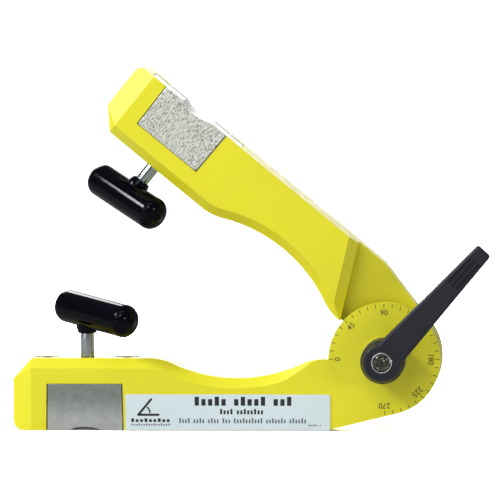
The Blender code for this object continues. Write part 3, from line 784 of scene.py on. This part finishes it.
def stadium(start, end, width):
    """A straight stroke with round ends, between two points."""
    start, end = Vector(start), Vector(end)
    heading = math.atan2(end.y - start.y, end.x - start.x)
    quarter = math.pi / 2
    outline = arc(end, width / 2, heading - quarter, heading + quarter, 6)
    outline += arc(start, width / 2, heading + quarter, heading + 3 * quarter, 6)
    return prism(outline, -PRINT_DEPTH, PRINT_DEPTH)


def ring_stroke(centre, radius, start, end, width):
    outline = arc(centre, radius + width / 2, start, end, 24)
    outline += arc(centre, radius - width / 2, end, start, 24)
    return prism(outline, -PRINT_DEPTH, PRINT_DEPTH)


def angle_sign(mesh):
    """A plain pictogram: two legs that meet at a corner, and an arc between them."""
    corner, opening = Vector((0.0075, 0.0092)), math.radians(50)
    leg, leg_width = 0.0118, 0.0013
    arc_radius, arc_width, gap = 0.0070, 0.0009, math.radians(9)
    for heading in (0, opening):
        tip = corner + Vector((math.cos(heading), math.sin(heading))) * leg
        merge(mesh, stadium(corner, tip, leg_width))
    merge(mesh, ring_stroke(corner, arc_radius, gap, opening - gap, arc_width))


def dashes(mesh, left, baseline, letters, pitch, height, weight):
    """A row of upright dashes in place of a line of words. letters has the number of dashes in each group."""
    x = left
    count = 0
    for group in letters:
        for _ in range(group):
            rise = height * (1.0 if count % 3 == 0 else 0.74)
            merge(mesh, box((x, baseline, -PRINT_DEPTH), (x + weight, baseline + rise, PRINT_DEPTH)))
            x += pitch
            count += 1
        x += pitch * 0.9


def label_print():
    """The angle sign and six rows of dashes, in metres from the label's lower left corner."""
    dark = bmesh.new()
    angle_sign(dark)
    dashes(dark, 0.0405, 0.0146, (5, 5, 3), 0.0039, 0.0052, 0.0025)
    dashes(dark, 0.0553, 0.0096, (4, 8), 0.00200, 0.0031, 0.0012)
    dashes(dark, 0.0033, 0.0050, (9,), 0.0026, 0.0021, 0.0017)
    grey = bmesh.new()
    dashes(grey, 0.0314, 0.0044, (4, 4, 4, 3, 10, 7, 6), 0.00172, 0.0029, 0.0009)
    dashes(grey, 0.0033, 0.0029, (16,), 0.00145, 0.0012, 0.0008)
    dashes(grey, 0.1070, 0.0027, (5, 1), 0.00105, 0.0011, 0.0006)
    for tone, mesh in (("dark", dark), ("grey", grey)):
        mesh = moved(mesh, label_frame())
        piece(f"label_{tone}_print", mesh, FINISHES[f"{tone}_ink"], "lower_arm")


# Stage: floor, light and camera

FLOOR_GREY = (0.5, 0.5, 0.5)
SEEN_FLOOR = (4.4, 4.4, 4.4)
SEEN_WALL = (1.05, 1.05, 1.05)
DIM_ROOM = 0.24
WHITE_WALL = 4.6


def camera_only(tree, for_camera, otherwise):
    """A value that differs between what the camera sees directly and what lights the object."""
    switch = tree.nodes.new("ShaderNodeMix")
    switch.data_type = "RGBA"
    path = tree.nodes.new("ShaderNodeLightPath")
    tree.links.new(path.outputs["Is Camera Ray"], switch.inputs["Factor"])
    switch.inputs["B"].default_value = (*for_camera, 1)
    if isinstance(otherwise, tuple):
        switch.inputs["A"].default_value = (*otherwise, 1)
    else:
        tree.links.new(otherwise, switch.inputs["A"])
    return switch.outputs["Result"]


def floor():
    """A pale floor that runs past the horizon, and that the camera sees overexposed."""
    reach = 120.0
    corners = ((-reach, -reach), (reach, -reach), (reach, reach), (-reach, reach))
    mesh = bmesh.new()
    mesh.faces.new([mesh.verts.new((x, y, -0.0001)) for x, y in corners])
    made = helper_object("floor", mesh)
    pale = Finish("Pale floor", FLOOR_GREY, 0.8, Specular_IOR_Level=0.0)
    pale.into("Base Color", camera_only(pale.tree, SEEN_FLOOR, FLOOR_GREY))
    made.data.materials.append(pale.material)


def area_light(name, direction, distance, size, power, color=(1.0, 1.0, 1.0)):
    """A soft box that looks at the middle of the object."""
    middle = Vector((0, 0, 0.08))
    direction = Vector(direction).normalized()
    light = bpy.data.lights.new(name, "AREA")
    light.shape = "RECTANGLE"
    light.size, light.size_y = size
    light.energy = power
    light.color = color
    made = bpy.data.objects.new(name, light)
    made.location = middle + direction * distance
    made.rotation_euler = (-direction).to_track_quat("-Z", "Y").to_euler()
    bpy.context.scene.collection.objects.link(made)


def world():
    """White to the camera. The object is lit by a dim room with a white wall, behind it on the left.

    The wall is where the direction's Y is high and its X is low.
    """
    made = bpy.data.worlds.new("Studio")
    bpy.context.scene.world = made
    made.use_nodes = True
    tree = made.node_tree
    direction = tree.nodes.new("ShaderNodeTexCoord").outputs["Generated"]
    parts = tree.nodes.new("ShaderNodeSeparateXYZ")
    tree.links.new(direction, parts.inputs["Vector"])

    def smooth_step(axis, near, far, low, high):
        step = tree.nodes.new("ShaderNodeMapRange")
        step.interpolation_type = "SMOOTHSTEP"
        for key, value in (("From Min", near), ("From Max", far), ("To Min", low), ("To Max", high)):
            step.inputs[key].default_value = value
        tree.links.new(parts.outputs[axis], step.inputs["Value"])
        return step

    left = smooth_step("X", 0.03, 0.14, WHITE_WALL, 0.3)
    wall = smooth_step("Y", 0.82, 0.95, DIM_ROOM, 1.0)
    tree.links.new(left.outputs["Result"], wall.inputs["To Max"])
    room = tree.nodes.new("ShaderNodeCombineColor")
    for channel in ("Red", "Green", "Blue"):
        tree.links.new(wall.outputs["Result"], room.inputs[channel])
    color = camera_only(tree, SEEN_WALL, room.outputs["Color"])
    tree.links.new(color, tree.nodes["Background"].inputs["Color"])


def lights():
    """Seven soft boxes: direction from the object, distance, size, watts and colour."""
    area_light("key", (-0.60, -0.70, 0.42), 2.8, (0.9, 0.9), 8.4)
    area_light("side", (-0.71, -0.32, 0.62), 2.6, (0.38, 0.60), 46, (0.93, 0.96, 1.0))
    area_light("low", (-0.62, -0.78, -0.01), 2.5, (1.1, 0.11), 1.6)
    area_light("right", (0.76, -0.64, 0.10), 2.4, (0.6, 0.3), 8)
    area_light("front", (-0.08, -0.80, 0.60), 1.1, (0.4, 0.4), 2.7)
    area_light("strip", (-0.05, -0.45, 0.85), 1.3, (1.0, 0.10), 1.6)
    area_light("back", (-0.35, 0.68, 0.64), 1.3, (0.5, 0.35), 8)


def camera():
    """The camera looks from the front, a little from the right and from above, and far away."""
    azimuth, elevation, roll = math.radians(5.65), math.radians(4.0), math.radians(-0.48)
    distance = 2.4
    target = Vector((0.0212, 0, 0.1043))
    level = math.cos(elevation)
    back = Vector((math.sin(azimuth) * level, -math.cos(azimuth) * level, math.sin(elevation)))
    data = bpy.data.cameras.new("camera")
    data.sensor_width = 36
    data.lens = 297
    data.clip_start, data.clip_end = 0.05, 400
    made = bpy.data.objects.new("camera", data)
    made.location = target + back * distance
    turn = (-back).to_track_quat("-Z", "Y").to_matrix().to_4x4() @ Matrix.Rotation(roll, 4, "Z")
    made.rotation_euler = turn.to_euler()
    bpy.context.scene.collection.objects.link(made)
    bpy.context.scene.camera = made


dress_cad_nodes()
for side in ("lower", "upper"):
    softened(f"{side}_arm_casting", CASTING_EDGE)
    for place in ("front", "rear"):
        softened(f"{side}_{place}_pole_shoe", SHOE_EDGE)
    for place in ("near", "far"):
        softened(f"{side}_{place}_retaining_screw", SHOE_EDGE)
    t_handle(side)
    stem(side)
clamp_lever()
lever_screw()
lever_spring()
dial()
label_print()
floor()
world()
lights()
camera()
bpy.context.scene.view_settings.view_transform = "Standard"
